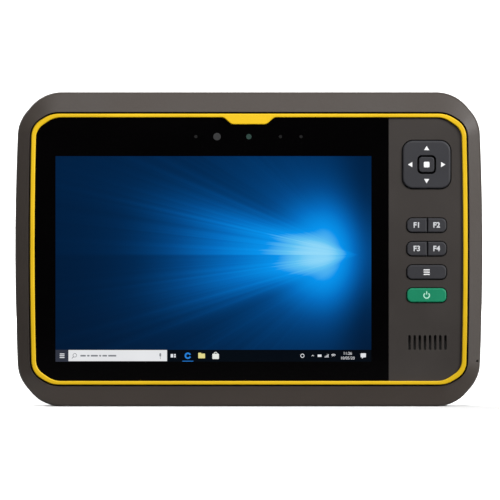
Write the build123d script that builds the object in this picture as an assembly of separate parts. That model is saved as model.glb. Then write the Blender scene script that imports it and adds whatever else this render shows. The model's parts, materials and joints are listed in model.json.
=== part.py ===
"""A rugged seven-inch field data collector, built as separate pieces.

Frame, in millimetres: +X to the right of the display, +Y from the display to the back, +Z up.
The collector stands on its long lower edge at Z = 0 and is centred on X and Y.
Places on the face are given from the middle of the face: across (X) and up from MID_Z.
Depths are Y values: the front is negative and the back is positive.
"""
import os
from math import atan2, pi, tan

from build123d import *

# ---------------------------------------------------------------- driving sizes
WIDTH = 220.5
HEIGHT = 148.3
DEPTH = 36.0
MID_Z = HEIGHT / 2
FRONT = -DEPTH / 2
BACK = DEPTH / 2
WALL = 3.0

# Outlines: flat top and bottom, bevelled corners, sides that bulge a little.
BODY_BEVEL_X = 97.0
BODY_BEVEL_Z = 60.5
BODY_BULGE = 1.45
BODY_TOP_RADIUS = 18.8
BODY_SIDE_RADIUS = 18.0
RING_HALF_WIDTH = 103.2
RING_HALF_HEIGHT = 63.9
RING_BEVEL_X = 93.1
RING_BEVEL_Z = 58.3
RING_BULGE = 0.76
RING_TOP_RADIUS = 13.0
RING_SIDE_RADIUS = 9.6
RING_FACE_SIDE = 2.15
RING_FACE_TOP = 1.8
OPENING_BEVEL_X = 92.0
OPENING_BEVEL_Z = 56.4
RING_SKIRT = 1.0
RING_GAP = 0.75
PLATE_INSET = 1.15
TAB_TOP = 23.8
TAB_BOTTOM = 16.5
TAB_DROP = 3.3
TAB_ROUND = 3.0
RING_LIP = 0.5

# Depths of the layers, front to back.
RIM_Y = -15.2
RIM_ROUND = 1.6
RING_Y = -17.7
PLATE_Y = -16.5
PLATE_BACK_Y = -15.0
SEAL_BACK_Y = -14.6
FASCIA_BACK_Y = -14.3
LEDGE_BACK_Y = -12.6
BOARD_Y = -12.0
LCD_BACK_Y = -13.2
TRAY_BACK_Y = -10.2
FRAME_Y = -9.4
FRAME_BACK_Y = -7.9
MAIN_Y = -6.4
MAIN_BACK_Y = -4.9
SPLIT_Y = -5.0
SPLIT_BACK_Y = -4.6
BEVEL_Y = 8.0
BACK_Y = 12.2
BACK_BEVEL = 5.0
BACK_WALL = 2.4

# Display and cover glass.
GLASS_EDGE_X = 65.8
DISPLAY_X = -16.9
DISPLAY_Z = -4.4
DISPLAY_WIDTH = 148.9
DISPLAY_HEIGHT = 97.2
SENSOR_Z = 53.1
LIGHT_SENSOR_X = -15.0
LED_PLACES = (-25.0, 14.9, 24.6)

# Keypad.
KEYS_X = 83.8
DPAD_Z = 39.9
DPAD_SIZE = 22.6
DPAD_RADIUS = 4.9
DPAD_Y = -17.6
DPAD_BACK_Y = -14.9
DPAD_ROUND = 0.9
DPAD_ARROW = 7.8
SELECT_SIZE = 7.3
SELECT_HOLE = 8.9
KEY_WIDTH = 18.6
KEY_HEIGHT = 6.7
KEY_Y = -17.3
KEY_GAP = 0.35
KEY_RADIUS = 2.5
KEY_ROUND = 0.65
KEY_FLANGE = 0.8
KEY_FLANGE_Y = -14.25
KEY_BACK_Y = -13.5
KEY_NUB_Y = -13.25
F_SPLIT_X = 0.3
F_LEGEND_X = (-4.7, 4.7)
F_ROWS_Z = (11.3, 0.2)
MENU_Z = -10.8
POWER_Z = -21.7
DOME_RADIUS = 2.0
DOME_HEIGHT = 0.55
SPEAKER_X = 84.2
SPEAKER_Z = -44.0
SLOT_COUNT = 8
SLOT_PITCH = 2.42
SLOT_WIDTH = 1.2
SLOT_HEIGHT = 6.9
MIC_X = 107.7
MIC_Z = -52.7

# The rocker's gimbal.
PIVOT_Y = -13.4
PIN_RADIUS = 0.5
PIN_BORE = 0.55
GIMBAL_INNER = 3.3
GIMBAL_OUTER = 4.5
PIN_END = 6.0
LUG_START = 4.9
LUG_END = 6.1

# Back of the case.
SCREW_PLACES = tuple((x, z) for x in (-101.5, 101.5) for z in (-38.0, 38.0))
SCREW_PLACES += tuple((x, z) for x in (-50.0, 50.0) for z in (-66.5, 66.5))
SCREW_RADIUS = 1.4
SCREW_HEAD = 2.5
SCREW_HEAD_Y = 9.0
TOWER_RADIUS = 3.2
BOSS_RADIUS = 2.6
BATTERY_WIDTH = 84.0
BATTERY_HEIGHT = 60.0
BATTERY_X = 44.2
BATTERY_Z = -22.0
BATTERY_Y = 2.2
BATTERY_BACK_Y = 16.0
BAY_GAP = 0.4
BAY_WALL = 1.2
LATCH_X = 44.2
LATCH_Z = 14.5
LATCH_TRAVEL = 5.0
COVER_X = -13.0
COVER_Z = 41.0
COVER_WIDTH = 92.0
COVER_HEIGHT = 40.0
COVER_BACK_Y = 16.4
PATTERN_X = 38.1
PATTERN_Z = 30.2
INSERT_RADIUS = 3.0
INSERT_BORE = 1.65
CAMERA_X = 58.0
CAMERA_Z = 44.0
LUG_X = 91.5
LUG_Z = 57.0
LUG_HALF = 9.0
EAR_WIDTH = 2.4
BAR_Y = 15.8
BAR_RADIUS = 1.2
PAD_X = 72.0
PAD_Z = 62.5
GRIP_X = 97.5
GRIP_COUNT = 11
GRIP_PITCH = 5.0
STYLUS_X = 93.4
STYLUS_Y = 3.4
STYLUS_RADIUS = 3.2
STYLUS_TOP = 71.6
STYLUS_LENGTH = 112.0
SILO_BORE = 3.6
SILO_OUTER = 4.7

# Port doors: lower and upper end of each door, from the middle of the side.
DOOR_SPANS = {"left": (-25.0, 15.2), "right": (5.0, 40.0)}
DOOR_SIDES = {"left": -1, "right": 1}
DOOR_FRONT_Y = -3.0
DOOR_PIN_X = 108.45
DOOR_PIN_Y = 5.2
DOOR_THICKNESS = 2.4
DOOR_GAP = 0.35
KNUCKLE_RADIUS = 1.4
DOOR_PIN_RADIUS = 0.7
POCKET_FLOOR_X = 106.4
PORT_BLOCK_X = 98.9


# ---------------------------------------------------------------- helpers
def plane_at(depth):
    """Drawing plane at a depth, seen from the front, with its origin at the middle of the face."""
    return Plane(origin=(0, depth, MID_Z), x_dir=(1, 0, 0), z_dir=(0, -1, 0))


def plate(outline, front, back):
    """A piece with the given outline and flat faces at two depths."""
    return extrude(plane_at(back) * outline, amount=back - front)


def block(x0, x1, front, back, z0, z1):
    """A box between limits, with its heights from the middle of the face."""
    outline = Pos((x0 + x1) / 2, (z0 + z1) / 2) * Rectangle(abs(x1 - x0), abs(z1 - z0))
    return plate(outline, front, back)


def rod(radius, front, back, x, z):
    """A cylinder along Y at a place on the face."""
    return plate(Pos(x, z) * Circle(radius), front, back)


def rod_x(radius, x0, x1, y, z):
    """A cylinder along X."""
    return Pos((x0 + x1) / 2, y, MID_Z + z) * Rot(0, 90, 0) * Cylinder(radius, abs(x1 - x0))


def rod_z(radius, x, y, z0, z1):
    """A cylinder along Z."""
    return Pos(x, y, MID_Z + (z0 + z1) / 2) * Cylinder(radius, abs(z1 - z0))


def rounded(x, z, width, height, radius):
    """A rounded rectangle drawn on the face."""
    return Pos(x, z) * RectangleRounded(width, height, radius)


def group(pieces):
    """Separate solids that share one node."""
    return Compound(children=[piece for piece in pieces])


def bulged_outline(half_width, half_height, bevel_x, bevel_z, bulge, top_radius, side_radius,
                   inset=0.0):
    """Flat top and bottom, bevelled and rounded corners, bulging sides, all moved in by inset."""
    side_x = half_width - bulge
    slope = atan2(half_height - bevel_z, side_x - bevel_x)
    bevel_x -= inset * tan(slope / 2)
    bevel_z -= inset * tan((pi / 2 - slope) / 2)
    side_x -= inset
    half_width -= inset
    half_height -= inset
    edges = [
        Line((-bevel_x, half_height), (bevel_x, half_height)),
        Line((bevel_x, half_height), (side_x, bevel_z)),
        ThreePointArc((side_x, bevel_z), (half_width, 0), (side_x, -bevel_z)),
        Line((side_x, -bevel_z), (bevel_x, -half_height)),
        Line((bevel_x, -half_height), (-bevel_x, -half_height)),
        Line((-bevel_x, -half_height), (-side_x, -bevel_z)),
        ThreePointArc((-side_x, -bevel_z), (-half_width, 0), (-side_x, bevel_z)),
        Line((-side_x, bevel_z), (-bevel_x, half_height)),
    ]
    sharp = make_face(edges)
    top_corners = [v for v in sharp.vertices() if abs(abs(v.Y) - half_height) < 0.01]
    soft_top = fillet(top_corners, top_radius - inset)
    side_corners = [v for v in soft_top.vertices() if abs(abs(v.Y) - bevel_z) < 0.01]
    return fillet(side_corners, side_radius - inset)


def body_outline(inset=0.0):
    """The case's outline, moved inwards by inset."""
    return bulged_outline(WIDTH / 2, HEIGHT / 2, BODY_BEVEL_X, BODY_BEVEL_Z,
                          BODY_BULGE, BODY_TOP_RADIUS, BODY_SIDE_RADIUS, inset)


def ring_outline(inset=0.0):
    """The trim ring's outer outline, moved inwards by inset."""
    return bulged_outline(RING_HALF_WIDTH, RING_HALF_HEIGHT, RING_BEVEL_X, RING_BEVEL_Z,
                          RING_BULGE, RING_TOP_RADIUS, RING_SIDE_RADIUS, inset)


def ring_opening():
    """The trim ring's inner outline: its face is narrower along the top and the bottom."""
    return bulged_outline(RING_HALF_WIDTH - RING_FACE_SIDE, RING_HALF_HEIGHT - RING_FACE_TOP,
                          OPENING_BEVEL_X, OPENING_BEVEL_Z, RING_BULGE,
                          RING_TOP_RADIUS - RING_FACE_TOP, RING_SIDE_RADIUS - RING_FACE_SIDE)


def bevelled_slab(outline_full, outline_small, straight_y, wide_y, narrow_y):
    """A slab with straight sides from straight_y to wide_y and a slope on to narrow_y."""
    straight = plate(outline_full, min(straight_y, wide_y), max(straight_y, wide_y))
    slope = loft([plane_at(wide_y) * outline_full, plane_at(narrow_y) * outline_small], ruled=True)
    return straight + slope


# ---------------------------------------------------------------- front of the case
def front_bumper():
    """Impact frame round the face, with the ledge that the glass rests on."""
    body = bevelled_slab(body_outline(), ring_outline(-RING_GAP), SPLIT_Y, RIM_Y, FRONT)
    rim = [edge for edge in body.edges() if abs(edge.center().Y - RIM_Y) < 0.01]
    body = fillet(rim, RIM_ROUND)
    body -= plate(ring_outline(-RING_GAP), FRONT - 1, SEAL_BACK_Y)
    body -= plate(ring_outline(PLATE_INSET + 3.2), SEAL_BACK_Y, LEDGE_BACK_Y)
    body -= plate(body_outline(WALL), LEDGE_BACK_Y, SPLIT_Y)
    mullion_height = 2 * RING_HALF_HEIGHT
    body += block(GLASS_EDGE_X - 2, GLASS_EDGE_X + 2, SEAL_BACK_Y, LEDGE_BACK_Y,
                  -mullion_height / 2, mullion_height / 2)
    for x, z in SCREW_PLACES:
        body += rod(BOSS_RADIUS, LEDGE_BACK_Y, FRAME_Y, x, z)
        body -= rod(SCREW_RADIUS + 0.05, LEDGE_BACK_Y + 0.1, FRAME_Y, x, z)
    body -= rod(0.5, FRONT, -12.0, MIC_X, MIC_Z)
    body -= block(104.4, 107.4, -12.2, -8.8, MIC_Z - 2.6, MIC_Z + 2.6)
    return body


def tab_outline():
    """The hanging tab at the top of the trim ring."""
    inner_edge = RING_HALF_HEIGHT - RING_FACE_TOP
    return make_face(Polyline(
        (-TAB_TOP / 2, inner_edge), (-TAB_BOTTOM / 2, inner_edge - TAB_DROP),
        (TAB_BOTTOM / 2, inner_edge - TAB_DROP), (TAB_TOP / 2, inner_edge),
        (TAB_TOP / 2, inner_edge + 1), (-TAB_TOP / 2, inner_edge + 1), close=True))


def trim_ring():
    """Yellow ring that frames the glass and the fascia, with a skirt round their edge."""
    face = ring_outline() - ring_opening() + tab_outline()
    inner_edge = RING_HALF_HEIGHT - RING_FACE_TOP
    corners = [v for v in face.vertices()
               if abs(v.X) < TAB_TOP / 2 + 1 and inner_edge - TAB_DROP - 0.1 < v.Y < inner_edge + 0.1]
    face = fillet(corners, TAB_ROUND)
    ring = plate(face, RING_Y, PLATE_Y)
    lip = [edge for edge in ring.edges() if abs(edge.center().Y - RING_Y) < 0.01]
    ring = fillet(lip, RING_LIP)
    return ring + plate(ring_outline() - ring_outline(RING_SKIRT), PLATE_Y, SEAL_BACK_Y)


def half_plate(x_from, x_to):
    """The part of the face plate's outline between two places across."""
    strip = Pos((x_from + x_to) / 2, 0) * Rectangle(x_to - x_from, HEIGHT)
    return ring_outline(PLATE_INSET) & strip


def cover_glass():
    """Glass over the display, up to the fascia."""
    return plate(half_plate(-WIDTH / 2, GLASS_EDGE_X), PLATE_Y, PLATE_BACK_Y)


def key_openings():
    """Centre height of each round-cornered opening in the fascia."""
    return (*F_ROWS_Z, MENU_Z, POWER_Z)


def speaker_slots():
    """Upright slots in front of the loudspeaker."""
    middle = (SLOT_COUNT - 1) / 2
    slots = Sketch()
    for index in range(SLOT_COUNT):
        place_x = SPEAKER_X + (index - middle) * SLOT_PITCH
        slots += rounded(place_x, SPEAKER_Z, SLOT_WIDTH, SLOT_HEIGHT, SLOT_WIDTH / 2 - 0.01)
    return slots


def fascia():
    """Keypad fascia beside the glass, with openings for the keys and the loudspeaker."""
    panel = plate(half_plate(GLASS_EDGE_X + 0.15, WIDTH / 2), PLATE_Y, PLATE_BACK_Y)
    panel += block(GLASS_EDGE_X + 2.4, 97.4, PLATE_BACK_Y, FASCIA_BACK_Y, -53.0, 53.0)
    panel -= plate(rounded(KEYS_X, DPAD_Z, DPAD_SIZE + 0.8, DPAD_SIZE + 0.8, DPAD_RADIUS + 0.4),
                   FRONT, LEDGE_BACK_Y)
    for z in key_openings():
        opening = rounded(KEYS_X, z, KEY_WIDTH + 2 * KEY_GAP, KEY_HEIGHT + 2 * KEY_GAP,
                          KEY_RADIUS + KEY_GAP)
        panel -= plate(opening, FRONT, LEDGE_BACK_Y)
    return panel - plate(speaker_slots(), FRONT, LEDGE_BACK_Y)


def glass_seal():
    """Bonded gasket between the face plate and the bumper's ledge."""
    return plate(ring_outline(PLATE_INSET) - ring_outline(PLATE_INSET + 3.0),
                 PLATE_BACK_Y, SEAL_BACK_Y)


# ---------------------------------------------------------------- display
def display_block(margin, front, back):
    """A layer of the display, larger than the lit area by a margin all round."""
    half_width = DISPLAY_WIDTH / 2 + margin
    half_height = DISPLAY_HEIGHT / 2 + margin
    return block(DISPLAY_X - half_width, DISPLAY_X + half_width, front, back,
                 DISPLAY_Z - half_height, DISPLAY_Z + half_height)


def lcd_panel():
    """Display panel bonded to the back of the glass."""
    return display_block(3.0, PLATE_BACK_Y, LCD_BACK_Y)


def backlight():
    """Light guide and diffuser behind the panel."""
    return display_block(2.6, LCD_BACK_Y, TRAY_BACK_Y - 0.6)


def lcd_frame():
    """Pressed steel tray round the panel and the backlight."""
    tray = display_block(3.6, LCD_BACK_Y - 1.0, TRAY_BACK_Y)
    tray -= display_block(3.1, LCD_BACK_Y - 1.0, LCD_BACK_Y)
    return tray - display_block(2.7, LCD_BACK_Y, TRAY_BACK_Y - 0.6)


def front_camera():
    """Camera behind the glass: a square body with a round barrel."""
    body = block(-3.4, 3.4, -12.4, -9.8, SENSOR_Z - 3.4, SENSOR_Z + 3.4)
    return body + rod(2.6, PLATE_BACK_Y, -12.4, 0, SENSOR_Z)


def light_sensor():
    """Ambient light sensor behind its window in the border."""
    body = block(LIGHT_SENSOR_X - 2.6, LIGHT_SENSOR_X + 2.6, -13.6, -12.4,
                 SENSOR_Z - 2.6, SENSOR_Z + 2.6)
    return body + rod(1.8, PLATE_BACK_Y, -13.6, LIGHT_SENSOR_X, SENSOR_Z)


def indicator_leds():
    """Small status lamps behind the border."""
    lamps = []
    for x in LED_PLACES:
        base = block(x - 1.3, x + 1.3, -14.0, -13.2, SENSOR_Z - 1.3, SENSOR_Z + 1.3)
        lamps.append(base + rod(0.9, PLATE_BACK_Y, -14.0, x, SENSOR_Z))
    return group(lamps)


# ---------------------------------------------------------------- keypad
def dpad():
    """Four-way rocker with lugs for the gimbal and a nub over each dome."""
    pad = plate(rounded(KEYS_X, DPAD_Z, DPAD_SIZE, DPAD_SIZE, DPAD_RADIUS), DPAD_Y, DPAD_BACK_Y)
    lip = [edge for edge in pad.edges() if abs(edge.center().Y - DPAD_Y) < 0.01]
    pad = fillet(lip, DPAD_ROUND)
    pad -= plate(rounded(KEYS_X, DPAD_Z, SELECT_HOLE, SELECT_HOLE, 2.2), FRONT, LEDGE_BACK_Y)
    lugs = []
    for side in (-1, 1):
        lugs.append(block(KEYS_X - 1.2, KEYS_X + 1.2, DPAD_BACK_Y, -12.75,
                          DPAD_Z + side * LUG_START, DPAD_Z + side * LUG_END))
        pad += rod(1.0, DPAD_BACK_Y, -13.2, KEYS_X + side * DPAD_ARROW, DPAD_Z)
        pad += rod(1.0, DPAD_BACK_Y, -13.2, KEYS_X, DPAD_Z + side * DPAD_ARROW)
    for lug in lugs:
        pad += lug
    return pad - rod_z(PIN_BORE, KEYS_X, PIVOT_Y, DPAD_Z - LUG_END, DPAD_Z + LUG_END)


def dpad_pivot():
    """Gimbal ring that lets the rocker tilt both ways."""
    ring = rod(GIMBAL_OUTER, PIVOT_Y - 0.5, PIVOT_Y + 0.5, KEYS_X, DPAD_Z)
    for side in (-1, 1):
        inner = side * (GIMBAL_INNER + 0.6)
        outer = side * PIN_END
        ring += rod_x(PIN_RADIUS, KEYS_X + inner, KEYS_X + outer, PIVOT_Y, DPAD_Z)
        ring += rod_z(PIN_RADIUS, KEYS_X, PIVOT_Y, DPAD_Z + inner, DPAD_Z + outer)
    return ring - rod(GIMBAL_INNER, PIVOT_Y - 1, PIVOT_Y + 1, KEYS_X, DPAD_Z)


def dpad_base():
    """Ring on the keypad board with the two posts that carry the gimbal."""
    base = plate(Pos(KEYS_X, DPAD_Z) * (Circle(LUG_END) - Circle(LUG_START - 0.6)), -12.2, BOARD_Y)
    for side in (-1, 1):
        base += block(KEYS_X + side * LUG_START, KEYS_X + side * LUG_END, PIVOT_Y - 0.9, BOARD_Y,
                      DPAD_Z - 1.2, DPAD_Z + 1.2)
    return base - rod_x(PIN_BORE, KEYS_X - LUG_END, KEYS_X + LUG_END, PIVOT_Y, DPAD_Z)


def select_key():
    """Square key in the middle of the rocker, with its plunger."""
    cap = plate(rounded(KEYS_X, DPAD_Z, SELECT_SIZE, SELECT_SIZE, 1.6), -17.1, -15.2)
    lip = [edge for edge in cap.edges() if abs(edge.center().Y + 17.1) < 0.01]
    cap = fillet(lip, 0.45)
    return cap + rod(1.4, -15.2, -13.3, KEYS_X, DPAD_Z)


def key_cap(z, cut_from, cut_to, nub_x):
    """A round-cornered key between two places across, with a flange behind the fascia."""
    strip_width = cut_to - cut_from
    strip = Pos(KEYS_X + (cut_from + cut_to) / 2, z) * Rectangle(strip_width, KEY_HEIGHT + 4)
    outline = rounded(KEYS_X, z, KEY_WIDTH, KEY_HEIGHT, KEY_RADIUS) & strip
    flange = rounded(KEYS_X, z, KEY_WIDTH + 2 * KEY_FLANGE, KEY_HEIGHT + 2 * KEY_FLANGE,
                     KEY_RADIUS + KEY_FLANGE) & strip
    cap = plate(outline, KEY_Y, KEY_FLANGE_Y)
    lip = [edge for edge in cap.edges() if abs(edge.center().Y - KEY_Y) < 0.01]
    cap = fillet(lip, KEY_ROUND)
    cap += plate(flange, KEY_FLANGE_Y, KEY_BACK_Y)
    return cap + rod(1.2, KEY_BACK_Y, KEY_NUB_Y, KEYS_X + nub_x, z)


def whole_key(z):
    """A key that fills its whole opening."""
    return key_cap(z, -20, 20, 0)


def split_key(row, column):
    """One key of an F pair: column 0 is on the left and column 1 on the right."""
    limits = ((-20, F_SPLIT_X - 0.2), (F_SPLIT_X + 0.2, 20))[column]
    return key_cap(F_ROWS_Z[row], *limits, F_LEGEND_X[column])


def dome_places():
    """Where a snap dome sits on the keypad board."""
    places = [(KEYS_X, DPAD_Z), (KEYS_X, MENU_Z), (KEYS_X, POWER_Z)]
    for side in (-1, 1):
        places.append((KEYS_X + side * DPAD_ARROW, DPAD_Z))
        places.append((KEYS_X, DPAD_Z + side * DPAD_ARROW))
    for z in F_ROWS_Z:
        places += [(KEYS_X + x, z) for x in F_LEGEND_X]
    return places


def key_domes():
    """Snap domes, one under each place that is pressed."""
    domes = []
    for x, z in dome_places():
        base = plane_at(BOARD_Y) * Pos(x, z) * Circle(DOME_RADIUS - 0.4)
        tip = plane_at(BOARD_Y - DOME_HEIGHT) * Pos(x, z) * Circle(0.9)
        domes.append(loft([base, tip], ruled=True))
    return group(domes)


def key_mat():
    """Silicone sheet on the keypad board, open round the domes and the gimbal."""
    sheet = rounded(KEYS_X, 11.0, 27.0, 76.0, 2.0) - Pos(KEYS_X, DPAD_Z) * Circle(LUG_END + 0.4)
    for x, z in dome_places():
        sheet -= Pos(x, z) * Circle(DOME_RADIUS)
    return plate(sheet, BOARD_Y - 0.35, BOARD_Y)


def keypad_board():
    """Circuit board under the keys."""
    return plate(rounded(KEYS_X, 11.0, 28.0, 78.0, 2.0), BOARD_Y, BOARD_Y + 1.0)


def speaker_mesh():
    """Fine mesh that keeps dust out of the loudspeaker."""
    return plate(rounded(SPEAKER_X, SPEAKER_Z, 22.0, 10.0, 1.5), FASCIA_BACK_Y, FASCIA_BACK_Y + 0.2)


def speaker():
    """Loudspeaker: an oblong box with a round magnet behind it."""
    body = plate(rounded(SPEAKER_X, SPEAKER_Z, 22.0, 12.0, 2.0), FASCIA_BACK_Y + 0.2, -10.8)
    return body + rod(4.5, -10.8, -9.6, SPEAKER_X, SPEAKER_Z)


def microphone():
    """Microphone behind the small hole in the bumper."""
    return block(104.5, 107.3, -11.9, -8.9, MIC_Z - 2.5, MIC_Z + 2.5)


# ---------------------------------------------------------------- inside
def mid_frame():
    """Cast magnesium plate that carries the display and the boards."""
    frame = plate(body_outline(WALL + 0.4), FRAME_Y, FRAME_BACK_Y)
    frame -= block(-30, -8, FRAME_Y, FRAME_BACK_Y, 50.5, 54.0)
    for x, z in SCREW_PLACES:
        frame -= rod(SCREW_RADIUS + 0.05, FRAME_Y, FRAME_BACK_Y, x, z)
    frame -= block(101.0, 107.6, FRAME_Y, FRAME_BACK_Y, MIC_Z - 3.2, MIC_Z + 3.2)
    return frame


def main_board():
    """Main circuit board behind the mid frame."""
    return block(-80, 80, MAIN_Y, MAIN_BACK_Y, -58, 50)


def shield_cans():
    """Pressed covers over the processor, the memory and the power circuits."""
    places = ((-48, -30, 34, 30), (0, -30, 40, 34), (46, -26, 30, 26))
    cans = []
    for x, z, width, height in places:
        cans.append(plate(rounded(x, z, width, height, 1.2), MAIN_BACK_Y, MAIN_BACK_Y + 2.4))
    return group(cans)


def radio_module():
    """Plug-in radio card."""
    return block(-70, -40, MAIN_BACK_Y, MAIN_BACK_Y + 3.0, 4, 46)


def antennas():
    """A ceramic patch for positioning, and two flexible strips inside the top wall."""
    patch = block(42, 67, MAIN_BACK_Y, MAIN_BACK_Y + 5.0, 22, 47)
    return group([patch] + [block(x - 18, x + 18, -3.6, 3.4, 70.7, 71.1) for x in (-72, 14)])


def display_cable():
    """Flat cable from the display's tray, through the mid frame, to the main board."""
    strip = block(-29, -9, -10.0, -9.7, 44.0, 52.2)
    strip += block(-29, -9, -10.0, -7.0, 51.9, 52.2)
    strip += block(-29, -9, -7.3, -7.0, 46.0, 52.2)
    return strip + block(-29, -9, -7.3, MAIN_Y, 46.0, 47.0)


# ---------------------------------------------------------------- back of the case
def battery_outline(side, grow):
    """A pack's outline, larger by grow all round."""
    return rounded(side * BATTERY_X, BATTERY_Z, BATTERY_WIDTH + 2 * grow,
                   BATTERY_HEIGHT + 2 * grow, 3.0 + grow)


def pattern_places():
    """Centres of the four threaded inserts on the back."""
    return [(COVER_X + i * PATTERN_X / 2, COVER_Z + j * PATTERN_Z / 2)
            for i in (-1, 1) for j in (-1, 1)]


def cover_screw_places():
    """Centres of the screws that hold the accessory cover."""
    return [(COVER_X + i * (COVER_WIDTH / 2 - 5.5), COVER_Z + j * (COVER_HEIGHT / 2 - 5.5))
            for i in (-1, 1) for j in (-1, 1)]


def door_pocket(name):
    """The space cut for a port door, from the outside in."""
    side = DOOR_SIDES[name]
    low, high = DOOR_SPANS[name]
    return block(side * POCKET_FLOOR_X, side * (WIDTH / 2 + 1), DOOR_FRONT_Y - DOOR_GAP,
                 DOOR_PIN_Y + KNUCKLE_RADIUS + 0.45, low - DOOR_GAP, high + DOOR_GAP)


def socket_places():
    """Side, centre height and size (depth, height) of the space for each socket."""
    return (("left", -13.0, 7.6, 14.0), ("left", 6.5, 7.6, 8.0),
            ("right", 14.0, 7.6, 9.0), ("right", 27.0, 5.0, 12.4))


def rear_housing():
    """Rear shell with its screw towers, battery bays, silo, port blocks and door pockets."""
    shell = bevelled_slab(body_outline(), body_outline(BACK_BEVEL), SPLIT_BACK_Y, BEVEL_Y, BACK_Y)
    shell -= plate(body_outline(WALL), SPLIT_BACK_Y, BEVEL_Y - 1.5)
    shell -= plate(body_outline(WALL + 4.0), BEVEL_Y - 1.5, BACK_Y - BACK_WALL)
    for side in (-1, 1):
        shell += plate(battery_outline(side, BAY_GAP + BAY_WALL), 0.6, BACK_Y - BACK_WALL)
        shell -= plate(battery_outline(side, BAY_GAP), BATTERY_Y - 0.2, BACK_Y)
    for x, z in SCREW_PLACES:
        shell += rod(TOWER_RADIUS, FRAME_BACK_Y, BACK_Y - BACK_WALL, x, z)
    for name, side in DOOR_SIDES.items():
        low, high = DOOR_SPANS[name]
        shell += block(side * PORT_BLOCK_X, side * (WIDTH / 2 - 2.0), SPLIT_BACK_Y + 0.2,
                       BEVEL_Y - 1.5, low - 3.0, high + 3.0)
    silo_low = STYLUS_TOP - STYLUS_LENGTH - 2.5
    shell += rod_z(SILO_OUTER, STYLUS_X, STYLUS_Y, silo_low, HEIGHT / 2 - WALL)
    for x, z in pattern_places():
        shell += rod(4.0, 4.0, BACK_Y - BACK_WALL, x, z)
        shell -= rod(INSERT_BORE + 0.5, 5.5, BACK_Y, x, z)
    for x, z in SCREW_PLACES:
        shell -= rod(SCREW_RADIUS + 0.05, FRAME_BACK_Y, BACK_Y, x, z)
        shell -= rod(SCREW_HEAD + 0.3, SCREW_HEAD_Y, BACK_Y, x, z)
    for x, z in cover_screw_places():
        shell += rod(3.0, 6.5, BACK_Y - BACK_WALL, x, z)
        shell -= rod(1.25, 7.5, BACK_Y, x, z)
    shell -= rod_z(SILO_BORE, STYLUS_X, STYLUS_Y, silo_low + 2.0, HEIGHT / 2 + 1)
    for name in DOOR_SIDES:
        low, high = DOOR_SPANS[name]
        pin_x = DOOR_SIDES[name] * DOOR_PIN_X
        shell -= door_pocket(name)
        shell -= rod_z(DOOR_PIN_RADIUS + 0.02, pin_x, DOOR_PIN_Y, low - 2.2, high + 2.2)
    for name, z, depth, height in socket_places():
        side = DOOR_SIDES[name]
        shell -= block(side * (PORT_BLOCK_X - 1), side * (POCKET_FLOOR_X + 0.1),
                       1.0 - depth / 2, 1.0 + depth / 2, z - height / 2, z + height / 2)
    shell -= rod(6.2, BACK_Y - BACK_WALL, BACK_Y, CAMERA_X, CAMERA_Z)
    shell -= rod(2.4, BACK_Y - BACK_WALL, BACK_Y, CAMERA_X + 12.5, CAMERA_Z)
    for side in (-1, 1):
        shell -= latch_window(side)
    for x, z in lug_places():
        shell -= plate(rounded(x, z, 2 * (LUG_HALF - EAR_WIDTH) - 0.6, 9.0, 2.0), BACK_Y - 1.0, BACK_Y)
    for x in (-GRIP_X, GRIP_X):
        for index in range(GRIP_COUNT):
            groove_z = (index - (GRIP_COUNT - 1) / 2) * GRIP_PITCH
            shell -= plate(rounded(x, groove_z, 9.0, 2.0, 0.99), BACK_Y - 0.8, BACK_Y)
    shell -= block(-17.0, 17.0, -2.8, 5.2, -HEIGHT / 2, -HEIGHT / 2 + WALL)
    return shell


def latch_window(side):
    """Recess in the back in which a battery latch slides."""
    return block(side * LATCH_X - 14.5, side * LATCH_X + 14.5, BACK_Y - 1.4, BACK_Y,
                 LATCH_Z - 4.0, LATCH_Z + 4.0)


def housing_seal():
    """Gasket in the joint between the two halves of the case."""
    return plate(body_outline(0.7) - body_outline(WALL - 0.3), SPLIT_Y, SPLIT_BACK_Y)


def battery(side):
    """Slide-in pack with soft edges and a finger groove near its top."""
    pack = plate(battery_outline(side, 0.0), BATTERY_Y, BATTERY_BACK_Y)
    rim = [edge for edge in pack.edges() if abs(edge.center().Y - BATTERY_BACK_Y) < 0.01]
    pack = fillet(rim, 1.6)
    groove = Pos(side * BATTERY_X, BATTERY_BACK_Y + 2.6, MID_Z + BATTERY_Z + 22) * Rot(0, 90, 0)
    return pack - groove * Cylinder(5.0, 34.0)


def battery_contacts():
    """Spring contact blocks through the floor of each battery bay."""
    return group([block(side * BATTERY_X - 9, side * BATTERY_X + 9, -1.8, 0.6, -46, -41)
                  for side in (-1, 1)])


def latch(side):
    """Sliding latch above a pack, with three finger ribs."""
    middle = side * LATCH_X - side * LATCH_TRAVEL / 2
    slider = plate(rounded(middle, LATCH_Z, 22.0, 7.2, 1.5), BACK_Y - 1.3, BACK_Y + 1.8)
    rim = [edge for edge in slider.edges() if abs(edge.center().Y - (BACK_Y + 1.8)) < 0.01]
    slider = fillet(rim, 0.5)
    for step in (-1, 0, 1):
        slider += block(middle + step * 3.0 - 0.6, middle + step * 3.0 + 0.6,
                        BACK_Y + 1.8, BACK_Y + 2.6, LATCH_Z - 2.6, LATCH_Z + 2.6)
    return slider


def accessory_cover():
    """Raised cover on the back that carries the threaded inserts."""
    cover = plate(rounded(COVER_X, COVER_Z, COVER_WIDTH, COVER_HEIGHT, 5.0), BACK_Y, COVER_BACK_Y)
    rim = [edge for edge in cover.edges() if abs(edge.center().Y - COVER_BACK_Y) < 0.01]
    cover = fillet(rim, 1.5)
    for x, z in pattern_places():
        cover -= rod(INSERT_RADIUS, BACK_Y, COVER_BACK_Y, x, z)
    for x, z in cover_screw_places():
        cover -= rod(1.5, BACK_Y, COVER_BACK_Y, x, z)
        cover -= rod(2.5, COVER_BACK_Y - 2.0, COVER_BACK_Y, x, z)
    return cover


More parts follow.
